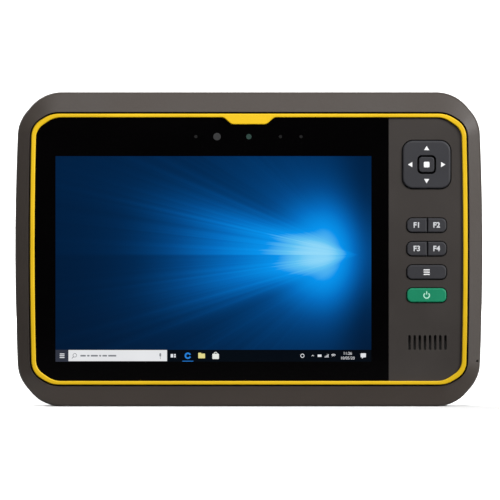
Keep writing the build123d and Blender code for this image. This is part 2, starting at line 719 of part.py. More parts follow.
def mount_inserts():
    """Threaded brass inserts flush with the cover."""
    return group([rod(INSERT_RADIUS, BACK_Y, COVER_BACK_Y, x, z)
                  - rod(INSERT_BORE, BACK_Y, COVER_BACK_Y, x, z) for x, z in pattern_places()])


def screw(shaft_radius, head_radius, tip_y, seat_y, head_height, x, z):
    """A hex-socket screw along Y with its head at the back."""
    body = rod(shaft_radius, tip_y, seat_y, x, z) + rod(head_radius, seat_y, seat_y + head_height, x, z)
    recess = plate(Pos(x, z) * RegularPolygon(head_radius * 0.5, 6),
                   seat_y + head_height * 0.4, seat_y + head_height)
    return body - recess


def case_screws():
    """Screws that hold the two halves of the case together."""
    return group([screw(SCREW_RADIUS, SCREW_HEAD, LEDGE_BACK_Y + 0.4, SCREW_HEAD_Y, 2.0, x, z)
                  for x, z in SCREW_PLACES])


def cover_screws():
    """Screws that hold the accessory cover."""
    return group([screw(1.2, 2.3, 8.0, COVER_BACK_Y - 2.0, 1.5, x, z)
                  for x, z in cover_screw_places()])


def door(name):
    """Port door that follows the curve of the side, with its hinge knuckle."""
    side = DOOR_SIDES[name]
    low, high = DOOR_SPANS[name]
    skin = plate(body_outline(), DOOR_FRONT_Y, DOOR_PIN_Y)
    skin -= plate(body_outline(DOOR_THICKNESS), DOOR_FRONT_Y, DOOR_PIN_Y)
    skin &= block(side * 100, side * (WIDTH / 2 + 1), DOOR_FRONT_Y, DOOR_PIN_Y, low, high)
    skin += rod_z(KNUCKLE_RADIUS, side * DOOR_PIN_X, DOOR_PIN_Y, low, high)
    return skin - rod_z(DOOR_PIN_RADIUS + 0.06, side * DOOR_PIN_X, DOOR_PIN_Y, low, high)


def door_pins():
    """Steel hinge pins of the two doors."""
    pins = []
    for name, side in DOOR_SIDES.items():
        low, high = DOOR_SPANS[name]
        pins.append(rod_z(DOOR_PIN_RADIUS, side * DOOR_PIN_X, DOOR_PIN_Y, low - 2.0, high + 2.0))
    return group(pins)


def socket_block(index):
    """The body of a socket, filling the space cut for it."""
    name, z, depth, height = socket_places()[index]
    side = DOOR_SIDES[name]
    return block(side * (PORT_BLOCK_X - 1), side * POCKET_FLOOR_X, 1.05 - depth / 2,
                 0.95 + depth / 2, z - height / 2 + 0.05, z + height / 2 - 0.05)


def usb_socket():
    """Data socket: an oblong mouth with a tongue."""
    z = socket_places()[0][1]
    body = socket_block(0)
    body -= block(-PORT_BLOCK_X - 1.5, -POCKET_FLOOR_X, -0.6, 2.6, z - 4.5, z + 4.5)
    return body + block(-PORT_BLOCK_X - 1.5, -POCKET_FLOOR_X + 0.6, 0.65, 1.35, z - 3.3, z + 3.3)


def headset_socket():
    """Round audio socket."""
    z = socket_places()[1][1]
    return socket_block(1) - rod_x(1.75, -PORT_BLOCK_X - 0.8, -POCKET_FLOOR_X, 1.0, z)


def power_inlet():
    """Charging inlet: a round well with a centre pin."""
    z = socket_places()[2][1]
    body = socket_block(2) - rod_x(2.75, PORT_BLOCK_X + 0.8, POCKET_FLOOR_X, 1.0, z)
    return body + rod_x(0.9, PORT_BLOCK_X + 0.4, POCKET_FLOOR_X - 0.8, 1.0, z)


def card_socket():
    """Push-in tray socket for the SIM and memory cards."""
    z = socket_places()[3][1]
    return socket_block(3) - block(PORT_BLOCK_X + 1, POCKET_FLOOR_X, 0.3, 1.7, z - 5.5, z + 5.5)


def docking_block():
    """Insulating block of the docking connector in the lower edge."""
    low = -HEIGHT / 2
    return block(-16.9, 16.9, -2.7, 5.1, low + 0.8, low + 5.0)


def docking_contacts():
    """Gold pads on the docking block."""
    low = -HEIGHT / 2
    return group([rod_z(1.2, -14.0 + 4.0 * index, 1.2, low + 0.4, low + 0.8)
                  for index in range(8)])


def rear_camera():
    """Camera module behind its window."""
    return rod(6.0, 2.0, 10.4, CAMERA_X, CAMERA_Z)


def camera_window():
    """Glass window and its bezel ring over the rear camera."""
    return rod(6.1, 10.5, BACK_Y + 0.4, CAMERA_X, CAMERA_Z)


def flash_lamp():
    """Flash beside the rear camera."""
    return rod(2.3, 8.4, BACK_Y + 0.2, CAMERA_X + 12.5, CAMERA_Z)


def lug_places():
    """Centres of the strap lugs."""
    return [(i * LUG_X, j * LUG_Z) for i in (-1, 1) for j in (-1, 1)]


def strap_lugs():
    """Pairs of ears at the back's corners that hold the strap bars."""
    ears = []
    ear_radius = BACK - BAR_Y
    for x, z in lug_places():
        for side in (-1, 1):
            inner = x + side * (LUG_HALF - EAR_WIDTH)
            outer = x + side * LUG_HALF
            ear = block(inner, outer, BACK_Y, BAR_Y, z - ear_radius, z + ear_radius)
            ear += rod_x(ear_radius, inner, outer, BAR_Y, z)
            ears.append(ear - rod_x(BAR_RADIUS + 0.02, inner, outer, BAR_Y, z))
    return group(ears)


def strap_bars():
    """Steel bars that a hand or neck strap loops round."""
    return group([rod_x(BAR_RADIUS, x - LUG_HALF, x + LUG_HALF, BAR_Y, z)
                  for x, z in lug_places()])


def rear_pads():
    """Rubber pads that the collector lies on."""
    pads = []
    for x in (-PAD_X, PAD_X):
        for z in (-PAD_Z, PAD_Z):
            pad = plate(rounded(x, z, 15.0, 8.0, 3.0), BACK_Y, BACK)
            rim = [edge for edge in pad.edges() if abs(edge.center().Y - BACK) < 0.01]
            pads.append(fillet(rim, 0.8))
    return group(pads)


def stylus():
    """Pen in its silo: a round barrel, a collar and a soft tip."""
    top = STYLUS_TOP
    barrel = rod_z(STYLUS_RADIUS, STYLUS_X, STYLUS_Y, top - STYLUS_LENGTH + 14, top)
    tip_base = MID_Z + top - STYLUS_LENGTH + 14
    tip = Pos(STYLUS_X, STYLUS_Y, tip_base - 7) * Cone(1.4, STYLUS_RADIUS, 14)
    return barrel + tip


# ---------------------------------------------------------------- all nodes
def all_nodes():
    """Every node of the collector by name."""
    return {
        "front_bumper": front_bumper(),
        "trim_ring": trim_ring(),
        "cover_glass": cover_glass(),
        "fascia": fascia(),
        "glass_seal": glass_seal(),
        "lcd_panel": lcd_panel(),
        "backlight": backlight(),
        "lcd_frame": lcd_frame(),
        "front_camera": front_camera(),
        "light_sensor": light_sensor(),
        "indicator_leds": indicator_leds(),
        "dpad": dpad(),
        "dpad_pivot": dpad_pivot(),
        "dpad_base": dpad_base(),
        "select_key": select_key(),
        "f1_key": split_key(0, 0),
        "f2_key": split_key(0, 1),
        "f3_key": split_key(1, 0),
        "f4_key": split_key(1, 1),
        "menu_key": whole_key(MENU_Z),
        "power_key": whole_key(POWER_Z),
        "key_domes": key_domes(),
        "key_mat": key_mat(),
        "keypad_board": keypad_board(),
        "speaker_mesh": speaker_mesh(),
        "speaker": speaker(),
        "microphone": microphone(),
        "mid_frame": mid_frame(),
        "main_board": main_board(),
        "shield_cans": shield_cans(),
        "radio_module": radio_module(),
        "antennas": antennas(),
        "display_cable": display_cable(),
        "housing_seal": housing_seal(),
        "rear_housing": rear_housing(),
        "battery_left": battery(-1),
        "battery_right": battery(1),
        "battery_contacts": battery_contacts(),
        "latch_left": latch(-1),
        "latch_right": latch(1),
        "accessory_cover": accessory_cover(),
        "mount_inserts": mount_inserts(),
        "case_screws": case_screws(),
        "cover_screws": cover_screws(),
        "door_left": door("left"),
        "door_right": door("right"),
        "door_pins": door_pins(),
        "usb_socket": usb_socket(),
        "headset_socket": headset_socket(),
        "power_inlet": power_inlet(),
        "card_socket": card_socket(),
        "docking_block": docking_block(),
        "docking_contacts": docking_contacts(),
        "rear_camera": rear_camera(),
        "camera_window": camera_window(),
        "flash_lamp": flash_lamp(),
        "strap_lugs": strap_lugs(),
        "strap_bars": strap_bars(),
        "rear_pads": rear_pads(),
        "stylus": stylus(),
    }


if __name__ == "__main__":
    os.makedirs("parts", exist_ok=True)
    for node, shape in all_nodes().items():
        export_step(shape, f"parts/{node}.step")
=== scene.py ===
"""Looks of a rugged field data collector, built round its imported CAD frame.

Metres, in the frame's own axes: +X to the right of the display, +Y to the back, +Z up.
"""
import json
import math

import bmesh
import bpy
from mathutils import Matrix, Vector


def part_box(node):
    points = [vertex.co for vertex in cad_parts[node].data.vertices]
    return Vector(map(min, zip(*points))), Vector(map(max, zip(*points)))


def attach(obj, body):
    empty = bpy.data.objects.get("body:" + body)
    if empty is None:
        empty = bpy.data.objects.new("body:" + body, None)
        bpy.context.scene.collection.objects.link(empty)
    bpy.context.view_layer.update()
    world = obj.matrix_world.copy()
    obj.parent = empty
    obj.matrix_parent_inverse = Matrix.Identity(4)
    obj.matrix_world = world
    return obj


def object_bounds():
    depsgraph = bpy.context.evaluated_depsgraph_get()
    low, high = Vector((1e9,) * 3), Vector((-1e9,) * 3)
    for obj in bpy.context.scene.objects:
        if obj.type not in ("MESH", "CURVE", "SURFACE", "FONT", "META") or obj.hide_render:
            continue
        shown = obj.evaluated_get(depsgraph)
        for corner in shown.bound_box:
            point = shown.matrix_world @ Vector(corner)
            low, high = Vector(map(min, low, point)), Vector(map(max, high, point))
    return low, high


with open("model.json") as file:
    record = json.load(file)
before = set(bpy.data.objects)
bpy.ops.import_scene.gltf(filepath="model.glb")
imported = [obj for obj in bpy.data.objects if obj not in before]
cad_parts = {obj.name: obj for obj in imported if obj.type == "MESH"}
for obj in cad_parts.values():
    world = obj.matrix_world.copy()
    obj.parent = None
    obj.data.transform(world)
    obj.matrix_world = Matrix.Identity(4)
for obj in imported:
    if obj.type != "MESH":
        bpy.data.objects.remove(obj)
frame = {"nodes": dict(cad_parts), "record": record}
CAD_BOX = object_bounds()
NODES = frame["nodes"]
MM = 0.001


# ---------------------------------------------------------------- node helpers
class Shader:
    """A material with a Principled shader, and short calls for the nodes that feed it."""

    def __init__(self, name, colour, roughness, metallic=0.0):
        self.material = bpy.data.materials.new(name)
        self.material.use_nodes = True
        self.tree = self.material.node_tree
        self.shader = self.tree.nodes["Principled BSDF"]
        self.set("Base Color", (*colour, 1.0))
        self.set("Roughness", roughness)
        self.set("Metallic", metallic)
        self.place = self.add("ShaderNodeTexCoord").outputs["Object"]

    def add(self, kind, **settings):
        """A node of this kind with some of its properties set."""
        node = self.tree.nodes.new(kind)
        for key, value in settings.items():
            setattr(node, key, value)
        return node

    def join(self, source, target):
        """Links an output to an input."""
        self.tree.links.new(source, target)

    def set(self, socket, value):
        """Sets one of the shader's own sockets."""
        self.shader.inputs[socket].default_value = value

    def feed(self, socket, source):
        """Links an output to one of the shader's sockets."""
        self.join(source, self.shader.inputs[socket])

    def put(self, node, index, value):
        """Gives a node's input a plain value or a link."""
        if hasattr(value, "links"):
            self.join(value, node.inputs[index])
        else:
            node.inputs[index].default_value = value

    def math(self, operation, first, second=0.0, clamp=False):
        """One arithmetic step."""
        node = self.add("ShaderNodeMath", operation=operation, use_clamp=clamp)
        self.put(node, 0, first)
        self.put(node, 1, second)
        return node.outputs[0]

    def product(self, *parts):
        """All the parts multiplied together."""
        total = parts[0]
        for part in parts[1:]:
            total = self.math("MULTIPLY", total, part)
        return total

    def decay(self, source, rate, power=1.0):
        """Exponential decay of a length, or a bell curve where power is 2."""
        scaled = self.math("MULTIPLY", source, rate)
        if power != 1.0:
            scaled = self.math("POWER", self.math("ABSOLUTE", scaled), power)
        return self.math("POWER", math.e, self.math("MULTIPLY", scaled, -1.0))

    def noise(self, scale, detail=2.0, stretch=None, roughness=0.5):
        """Noise in the frame's own space: scale is in cells per metre."""
        place = self.place
        if stretch:
            mapping = self.add("ShaderNodeMapping")
            mapping.inputs["Scale"].default_value = stretch
            self.join(place, mapping.inputs["Vector"])
            place = mapping.outputs["Vector"]
        node = self.add("ShaderNodeTexNoise")
        self.join(place, node.inputs["Vector"])
        node.inputs["Scale"].default_value = scale
        node.inputs["Detail"].default_value = detail
        node.inputs["Roughness"].default_value = roughness
        return node.outputs["Fac"]

    def cells(self, scale):
        """Distance to the nearest of scattered points, for a moulded grain."""
        node = self.add("ShaderNodeTexVoronoi", feature="SMOOTH_F1")
        self.join(self.place, node.inputs["Vector"])
        node.inputs["Scale"].default_value = scale
        return node.outputs["Distance"]

    def spread(self, source, from_low, from_high, to_low, to_high, smooth=False):
        """Maps one range to another."""
        node = self.add("ShaderNodeMapRange")
        if smooth:
            node.interpolation_type = "SMOOTHSTEP"
        for index, value in enumerate((source, from_low, from_high, to_low, to_high)):
            self.put(node, index, value)
        return node.outputs[0]

    def mix(self, factor, first, second):
        """A mix of two colours."""
        node = self.add("ShaderNodeMix", data_type="RGBA")
        self.put(node, "Factor", factor)
        for socket, colour in (("A", first), ("B", second)):
            target = [i for i in node.inputs if i.name == socket and i.type == "RGBA"][0]
            if hasattr(colour, "links"):
                self.join(colour, target)
            else:
                target.default_value = (*colour, 1.0)
        return [o for o in node.outputs if o.type == "RGBA"][0]

    def soft_normal(self, radius):
        """The surface's normal, rounded off at its edges over a radius in metres."""
        node = self.add("ShaderNodeBevel", samples=4)
        node.inputs["Radius"].default_value = radius
        return node.outputs["Normal"]

    def bump(self, height, depth, strength=1.0, normal=None):
        """Bump of a real depth in metres, fed to the shader's normal."""
        node = self.add("ShaderNodeBump")
        node.inputs["Strength"].default_value = strength
        node.inputs["Distance"].default_value = depth
        self.join(height, node.inputs["Height"])
        if normal:
            self.join(normal, node.inputs["Normal"])
        self.feed("Normal", node.outputs["Normal"])

    def edges(self, soft):
        """How near a point lies to an edge, from 0 to 1."""
        flat = self.add("ShaderNodeNewGeometry").outputs["True Normal"]
        node = self.add("ShaderNodeVectorMath", operation="DOT_PRODUCT")
        self.join(soft, node.inputs[0])
        self.join(flat, node.inputs[1])
        return self.spread(node.outputs["Value"], 0.98, 0.80, 0.0, 1.0)


def lighter(colour, factor):
    """A colour made lighter or darker."""
    return tuple(min(1.0, part * factor) for part in colour)


# ---------------------------------------------------------------- materials
def moulded(name, colour, roughness=0.55, grain=2600.0, depth=0.00003, wear=0.5, specular=0.25,
            soften=0.0003):
    """Moulded plastic or rubber with a spark-eroded grain, cloudy tone and rubbed edges."""
    m = Shader(name, colour, roughness)
    m.set("Specular IOR Level", specular)
    soft = m.soft_normal(soften)
    cloud = m.noise(38.0, 3.0)
    fine = m.noise(grain, 2.0)
    tone = m.spread(cloud, 0.3, 0.7, 0.0, 1.0)
    base = m.mix(tone, lighter(colour, 0.93), lighter(colour, 1.07))
    base = m.mix(m.spread(fine, 0.35, 0.65, 0.0, 0.35), base, lighter(colour, 0.8))
    rubbed = m.math("MULTIPLY", m.edges(soft), m.spread(m.noise(420.0, 4.0), 0.45, 0.7, 0.0, wear))
    m.feed("Base Color", m.mix(rubbed, base, lighter(colour, 1.9)))
    scatter = m.math("ADD", m.spread(cloud, 0.3, 0.7, -0.05, 0.05),
                     m.spread(fine, 0.3, 0.7, -0.06, 0.06))
    m.feed("Roughness", m.math("ADD", scatter, roughness, clamp=True))
    m.bump(m.math("ADD", fine, m.cells(grain * 0.55)), depth, 0.6, soft)
    return m.material


def polished(name, colour, roughness=0.08, specular=0.2):
    """Smooth glass or gloss plastic with faint smears."""
    m = Shader(name, colour, roughness)
    m.set("Specular IOR Level", specular)
    smear = m.noise(26.0, 4.0, stretch=(1.0, 1.0, 2.2))
    m.feed("Roughness", m.spread(smear, 0.35, 0.75, roughness * 0.7, roughness * 1.6))
    m.feed("Base Color", m.mix(m.spread(smear, 0.4, 0.7, 0.0, 1.0), colour, lighter(colour, 1.25)))
    return m.material


def metal(name, colour, roughness=0.32, stretch=(1.0, 1.0, 40.0), depth=0.000006):
    """Drawn, pressed or cast metal with fine lines."""
    m = Shader(name, colour, roughness, metallic=1.0)
    soft = m.soft_normal(0.0002)
    lines = m.noise(900.0, 3.0, stretch=stretch)
    m.feed("Roughness", m.spread(lines, 0.3, 0.7, roughness * 0.75, roughness * 1.3))
    m.feed("Base Color", m.mix(m.spread(lines, 0.3, 0.7, 0.0, 1.0),
                               lighter(colour, 0.88), lighter(colour, 1.06)))
    m.bump(lines, depth, 0.5, soft)
    return m.material


def woven_mesh(name, colour):
    """Acoustic mesh: crossed threads."""
    m = Shader(name, colour, 0.6)
    axes = m.add("ShaderNodeSeparateXYZ")
    m.join(m.place, axes.inputs[0])
    across = m.math("SINE", m.math("MULTIPLY", axes.outputs["X"], 14000.0))
    upward = m.math("SINE", m.math("MULTIPLY", axes.outputs["Z"], 14000.0))
    weave = m.math("MULTIPLY", across, upward)
    m.feed("Base Color", m.mix(m.spread(weave, -1.0, 1.0, 0.0, 1.0), lighter(colour, 0.5),
                               lighter(colour, 2.2)))
    m.bump(weave, 0.00004, 0.8)
    return m.material


def circuit(name, colour):
    """Coated circuit board with faint tracks."""
    m = Shader(name, colour, 0.35)
    tracks = m.noise(700.0, 1.0, stretch=(1.0, 1.0, 12.0))
    m.feed("Base Color", m.mix(m.spread(tracks, 0.48, 0.55, 0.0, 1.0), colour, lighter(colour, 1.7)))
    m.bump(tracks, 0.00003, 0.4)
    return m.material


HOUSING = (0.0388, 0.0308, 0.0258)
FASCIA = (0.0295, 0.0248, 0.0222)
KEY = (0.025, 0.025, 0.029)

MATERIALS = {
    "housing_grey": moulded("housing_grey", HOUSING, 0.5),
    "trim_yellow": moulded("trim_yellow", (0.605, 0.385, 0.0065), 0.42, depth=0.000008, wear=0.05),
    "glass_black": polished("glass_black", (0.0005, 0.0004, 0.0005)),
    "fascia_grey": moulded("fascia_grey", FASCIA, 0.55, grain=3200.0, depth=0.00002),
    "key_rubber": moulded("key_rubber", KEY, 0.6, grain=3600.0, depth=0.000016, wear=0.2),
    "power_green": moulded("power_green", (0.0035, 0.185, 0.090), 0.5, grain=3600.0, depth=0.000016),
    "seal_rubber": moulded("seal_rubber", (0.012, 0.012, 0.012), 0.7),
    "pad_rubber": moulded("pad_rubber", (0.022, 0.021, 0.020), 0.72, grain=1800.0, depth=0.00005),
    "display": polished("display_body", (0.01, 0.02, 0.05)),
    "diffuser": moulded("diffuser", (0.8, 0.8, 0.78), 0.5),
    "steel": metal("steel", (0.40, 0.395, 0.385), 0.36),
    "black_plastic": moulded("black_plastic", (0.018, 0.018, 0.018), 0.5, grain=3000.0, depth=0.00002),
    "battery_case": moulded("battery_case", (0.038, 0.035, 0.033), 0.55, grain=2200.0, depth=0.00004),
    "mesh_black": woven_mesh("mesh_black", (0.030, 0.028, 0.027)),
    "board_green": circuit("board_green", (0.01, 0.09, 0.035)),
    "magnesium": metal("magnesium", (0.30, 0.30, 0.31), 0.45, stretch=(1.0, 1.0, 1.0), depth=0.00003),
    "ceramic": moulded("ceramic", (0.6, 0.56, 0.46), 0.5),
    "flex_orange": moulded("flex_orange", (0.5, 0.2, 0.03), 0.4),
    "brass": metal("brass", (0.52, 0.36, 0.13), 0.35, stretch=(40.0, 1.0, 1.0)),
    "clear_window": polished("clear_window", (0.004, 0.004, 0.006), 0.04, 0.3),
    "lamp_white": polished("lamp_white", (0.46, 0.43, 0.33), 0.15, 0.5),
}

for part in frame["record"]["subparts"]:
    mesh_materials = NODES[part["node"]].data.materials
    mesh_materials.clear()
    mesh_materials.append(MATERIALS[part["material_slot"]])

blackened = metal("steel_blackened", (0.10, 0.10, 0.105), 0.42)
for node_name in ("case_screws", "cover_screws"):
    NODES[node_name].data.materials[0] = blackened


# ---------------------------------------------------------------- shape helpers
def finish_piece(mesh, name, material, body):
    """Makes an object of a mesh, gives it its material and lets it ride on its body."""
    mesh.name = name
    mesh.materials.clear()
    mesh.materials.append(material)
    piece = bpy.data.objects.new(name, mesh)
    bpy.context.scene.collection.objects.link(piece)
    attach(piece, body)
    return piece


def plaques(outlines, front_y, thickness):
    """Flat closed prisms that face the front, from outlines of (x, z) points."""
    form = bmesh.new()
    for outline in outlines:
        front = [form.verts.new((x, front_y, z)) for x, z in outline]
        back = [form.verts.new((x, front_y + thickness, z)) for x, z in outline]
        form.faces.new(front)
        form.faces.new(list(reversed(back)))
        count = len(outline)
        for index in range(count):
            after = (index + 1) % count
            form.faces.new((front[index], back[index], back[after], front[after]))
    bmesh.ops.recalc_face_normals(form, faces=form.faces)
    mesh = bpy.data.meshes.new("plaques")
    form.to_mesh(mesh)
    form.free()
    return mesh


def box_outline(x0, x1, z0, z1):
    """Corners of a rectangle."""
    return [(x0, z0), (x1, z0), (x1, z1), (x0, z1)]


def disc_outline(x, z, radius, steps=32):
    """Points round a circle."""
    turn = 2 * math.pi / steps
    return [(x + radius * math.cos(i * turn), z + radius * math.sin(i * turn)) for i in range(steps)]


def soft_box(x, z, width, height, radius, steps=6):
    """A rectangle with rounded corners."""
    points = []
    for quarter, (sx, sz) in enumerate(((1, 1), (-1, 1), (-1, -1), (1, -1))):
        cx = x + sx * (width / 2 - radius)
        cz = z + sz * (height / 2 - radius)
        for step in range(steps + 1):
            angle = math.pi / 2 * (quarter + step / steps)
            points.append((cx + radius * math.cos(angle), cz + radius * math.sin(angle)))
    return points


def arc_band(x, z, radius, width, start, end, steps=28):
    """A band along an arc, between two angles in degrees."""
    angles = [math.radians(start + (end - start) * i / steps) for i in range(steps + 1)]
    outer = [(x + (radius + width / 2) * math.cos(a), z + (radius + width / 2) * math.sin(a))
             for a in angles]
    inner = [(x + (radius - width / 2) * math.cos(a), z + (radius - width / 2) * math.sin(a))
             for a in reversed(angles)]
    return outer + inner


def lettering(text, x, z, size, front_y, thickness, bold=0.0, narrow=1.0):
    """Generic characters as a closed mesh that faces the front, centred on a place."""
    curve = bpy.data.curves.new("lettering", "FONT")
    curve.body = text
    curve.size = size
    curve.align_x = "CENTER"
    curve.align_y = "CENTER"
    curve.extrude = thickness / 2
    curve.offset = bold
    holder = bpy.data.objects.new("lettering", curve)
    mesh = bpy.data.meshes.new_from_object(holder)
    bpy.data.objects.remove(holder)
    mesh.transform(Matrix.Translation((x, front_y + thickness / 2, z))
                   @ Matrix.Rotation(math.pi / 2, 4, "X") @ Matrix.Diagonal((narrow, 1.0, 1.0, 1.0)))
    return mesh


def merged(meshes):
    """One mesh from several."""
    form = bmesh.new()
    for mesh in meshes:
        form.from_mesh(mesh)
    mesh = bpy.data.meshes.new("merged")
    form.to_mesh(mesh)
    form.free()
    return mesh


# ---------------------------------------------------------------- display picture
SHEET = 0.03 * MM
PANEL_MARGIN = 3.0 * MM
panel_low, panel_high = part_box("lcd_panel")
GLASS_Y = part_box("cover_glass")[0].y
LIT_X0 = panel_low.x + PANEL_MARGIN + 0.2 * MM
LIT_X1 = panel_high.x - PANEL_MARGIN + 0.2 * MM
LIT_Z0 = panel_low.z + PANEL_MARGIN
LIT_Z1 = panel_high.z - PANEL_MARGIN - 0.3 * MM
LIT_WIDTH = LIT_X1 - LIT_X0
LIT_HEIGHT = LIT_Z1 - LIT_Z0
BAR_HEIGHT = 5.6 * MM


def glossy_lit(name):
    """A black shader with a gloss like the glass's, ready to be lit."""
    m = Shader(name, (0.0, 0.0, 0.0), 0.1)
    m.set("Specular IOR Level", 0.2)
    m.set("Emission Strength", 1.0)
    return m


def glowing(name, colour):
    """A lit part of the picture in one colour, a little uneven."""
    m = glossy_lit(name)
    grain = m.noise(60.0, 2.0)
    m.feed("Emission Color", m.mix(m.spread(grain, 0.3, 0.7, 0.0, 1.0), lighter(colour, 0.94), colour))
    m.feed("Roughness", m.spread(grain, 0.3, 0.7, 0.08, 0.14))
    return m.material


SOURCE_ACROSS = 0.86
SOURCE_UP = 0.52
FAN_SETBACK = 0.10
BEAM_TILT = 0.02
COARSE_RAYS = 6.5
FINE_RAYS = 34.0
WALL_COLOURS = (
    (0.0, (0.0002, 0.005, 0.018)),
    (0.08, (0.0003, 0.021, 0.080)),
    (0.25, (0.0008, 0.066, 0.25)),
    (0.50, (0.001, 0.150, 0.52)),
    (0.80, (0.002, 0.290, 0.84)),
    (0.93, (0.12, 0.54, 0.90)),
    (1.0, (0.34, 0.74, 0.96)),
)


def rays(m, angle, scale, detail):
    """Noise that changes only with the direction from the source."""
    node = m.add("ShaderNodeTexNoise", noise_dimensions="1D")
    m.join(angle, node.inputs["W"])
    node.inputs["Scale"].default_value = scale
    node.inputs["Detail"].default_value = detail
    return node.outputs["Fac"]


def fan_light(m, left, angle):
    """The streaked beam to the left of the source, with a faint wide trail."""
    streak = m.math("MULTIPLY", m.spread(rays(m, angle, COARSE_RAYS, 3.0), 0.3, 0.7, 0.70, 1.22),
                    m.spread(rays(m, angle, FINE_RAYS, 2.0), 0.35, 0.72, 0.92, 1.30))
    lean = m.math("ABSOLUTE", m.math("SUBTRACT", angle, BEAM_TILT))
    ahead = m.spread(left, -0.12, 0.06, 0.0, 1.0, smooth=True)
    fan = m.spread(lean, 0.10, 0.47, 1.0, 0.0, smooth=True)
    wide = m.spread(lean, 0.2, 1.3, 1.0, 0.0, smooth=True)
    beam = m.product(fan, ahead, m.decay(left, 3.1, 2.0))
    trail = m.product(wide, ahead, m.decay(left, 2.6), 0.10)
    return m.math("MULTIPLY", m.math("ADD", m.math("MULTIPLY", beam, 1.25), trail), streak)


def source_light(m, left, distance):
    """The bright source and its glow, weaker on the right of it."""
    past = m.spread(left, -0.13, 0.02, 0.30, 1.0, smooth=True)
    glow = m.math("MULTIPLY", m.decay(distance, 6.5), 0.60)
    blob = m.math("MULTIPLY", m.decay(distance, 8.6, 2.0), 1.6)
    return m.math("MULTIPLY", m.math("ADD", glow, blob), past)


def wall_ramp(m, light):
    """The wallpaper's colours from dark to bright."""
    ramp = m.add("ShaderNodeValToRGB")
    stops = ramp.color_ramp.elements
    for stop, (position, colour) in ((stops[0], WALL_COLOURS[0]), (stops[1], WALL_COLOURS[-1])):
        stop.position = position
        stop.color = (*colour, 1.0)
    for position, colour in WALL_COLOURS[1:-1]:
        stops.new(position).color = (*colour, 1.0)
    m.join(light, ramp.inputs["Fac"])
    return ramp.outputs["Color"]


def wallpaper():
    """Abstract picture: a fan of blue light that opens to the left from a bright source."""
    m = glossy_lit("wallpaper")
    axes = m.add("ShaderNodeSeparateXYZ")
    m.join(m.place, axes.inputs[0])
    source_x = LIT_X0 + LIT_WIDTH * SOURCE_ACROSS
    source_z = LIT_Z0 + LIT_HEIGHT * SOURCE_UP
    left = m.math("DIVIDE", m.math("SUBTRACT", source_x, axes.outputs["X"]), LIT_WIDTH)
    rise = m.math("DIVIDE", m.math("SUBTRACT", axes.outputs["Z"], source_z), LIT_WIDTH)
    squares = m.math("ADD", m.math("POWER", left, 2.0), m.math("POWER", rise, 2.0))
    distance = m.math("SQRT", squares)
    angle = m.math("ARCTAN2", rise, m.math("ADD", left, FAN_SETBACK))
    light = m.math("ADD", fan_light(m, left, angle), source_light(m, left, distance))
    upward = m.spread(axes.outputs["Z"], LIT_Z0, LIT_Z1, 0.004, 0.026)
    light = m.math("SUBTRACT", 1.0, m.decay(m.math("ADD", light, upward), 1.2))
    m.feed("Emission Color", wall_ramp(m, light))
    m.feed("Roughness", m.spread(m.noise(26.0, 3.0), 0.3, 0.7, 0.08, 0.14))
    return m.material


BAR_TOP = LIT_Z0 + BAR_HEIGHT
BAR_MIDDLE = LIT_Z0 + BAR_HEIGHT / 2
SEARCH_X0 = LIT_X0 + 6.1 * MM
SEARCH_X1 = LIT_X0 + 52.6 * MM
MARK_Y = GLASS_Y - 4 * SHEET
MARK_DEPTH = 4 * SHEET


def bar_box(x, x0, x1, z0, z1):
    """A rectangle, in millimetres from x and from the task bar's middle."""
    return box_outline(x + x0 * MM, x + x1 * MM, BAR_MIDDLE + z0 * MM, BAR_MIDDLE + z1 * MM)


def bar_shape(x, *points):
    """An outline, in millimetres from x and from the task bar's middle."""
    return [(x + across * MM, BAR_MIDDLE + up * MM) for across, up in points]


def bar_tile(x, z, width, height, radius):
    """A rounded rectangle at x, in millimetres from the task bar's middle."""
    return soft_box(x, BAR_MIDDLE + z * MM, width * MM, height * MM, radius * MM)


def bar_arc(x, z, radius, width, start, end):
    """A band along an arc at x, in millimetres from the task bar's middle."""
    return arc_band(x, BAR_MIDDLE + z * MM, radius * MM, width * MM, start, end)


def start_marks():
    """Three plain bars, and the three panes of the window mark."""
    home_x = LIT_X0 + 3.1 * MM
    panes_x = LIT_X0 + 55.6 * MM
    bars = [bar_tile(home_x, step * 0.85, 2.3, 0.42, 0.2) for step in (-1, 0, 1)]
    return bars + [bar_box(panes_x, -1.3, -0.1, -0.8, 0.8), bar_box(panes_x, 0.3, 1.1, -0.8, -0.1),
                   bar_box(panes_x, 0.3, 1.1, 0.1, 0.8)]


def tray_marks():
    """A ring, an arrow head, a battery, four signal bars and two arcs."""
    x = LIT_X1 - 32.5 * MM
    marks = [bar_arc(x, 0.0, 0.8, 0.3, 0, 350),
             bar_shape(x, (4.2, -0.3), (4.9, 0.4), (5.6, -0.3), (4.9, 0.0)),
             bar_box(x, 7.2, 9.0, -0.55, 0.55)]
    for index in range(4):
        foot = 10.5 + index * 0.5
        marks.append(bar_box(x, foot, foot + 0.3, -0.8, -0.4 + index * 0.4))
    for radius in (1.3, 0.7):
        marks.append(bar_arc(x + 14.6 * MM, -0.6, radius, 0.3, 40, 140))
    return marks


def notice_marks():
    """A speech bubble."""
    x = LIT_X1 - 3.8 * MM
    return [bar_tile(x, 0.2, 2.5, 1.9, 0.3), bar_shape(x, (-0.6, -0.7), (-0.6, -1.4), (0.2, -0.7))]


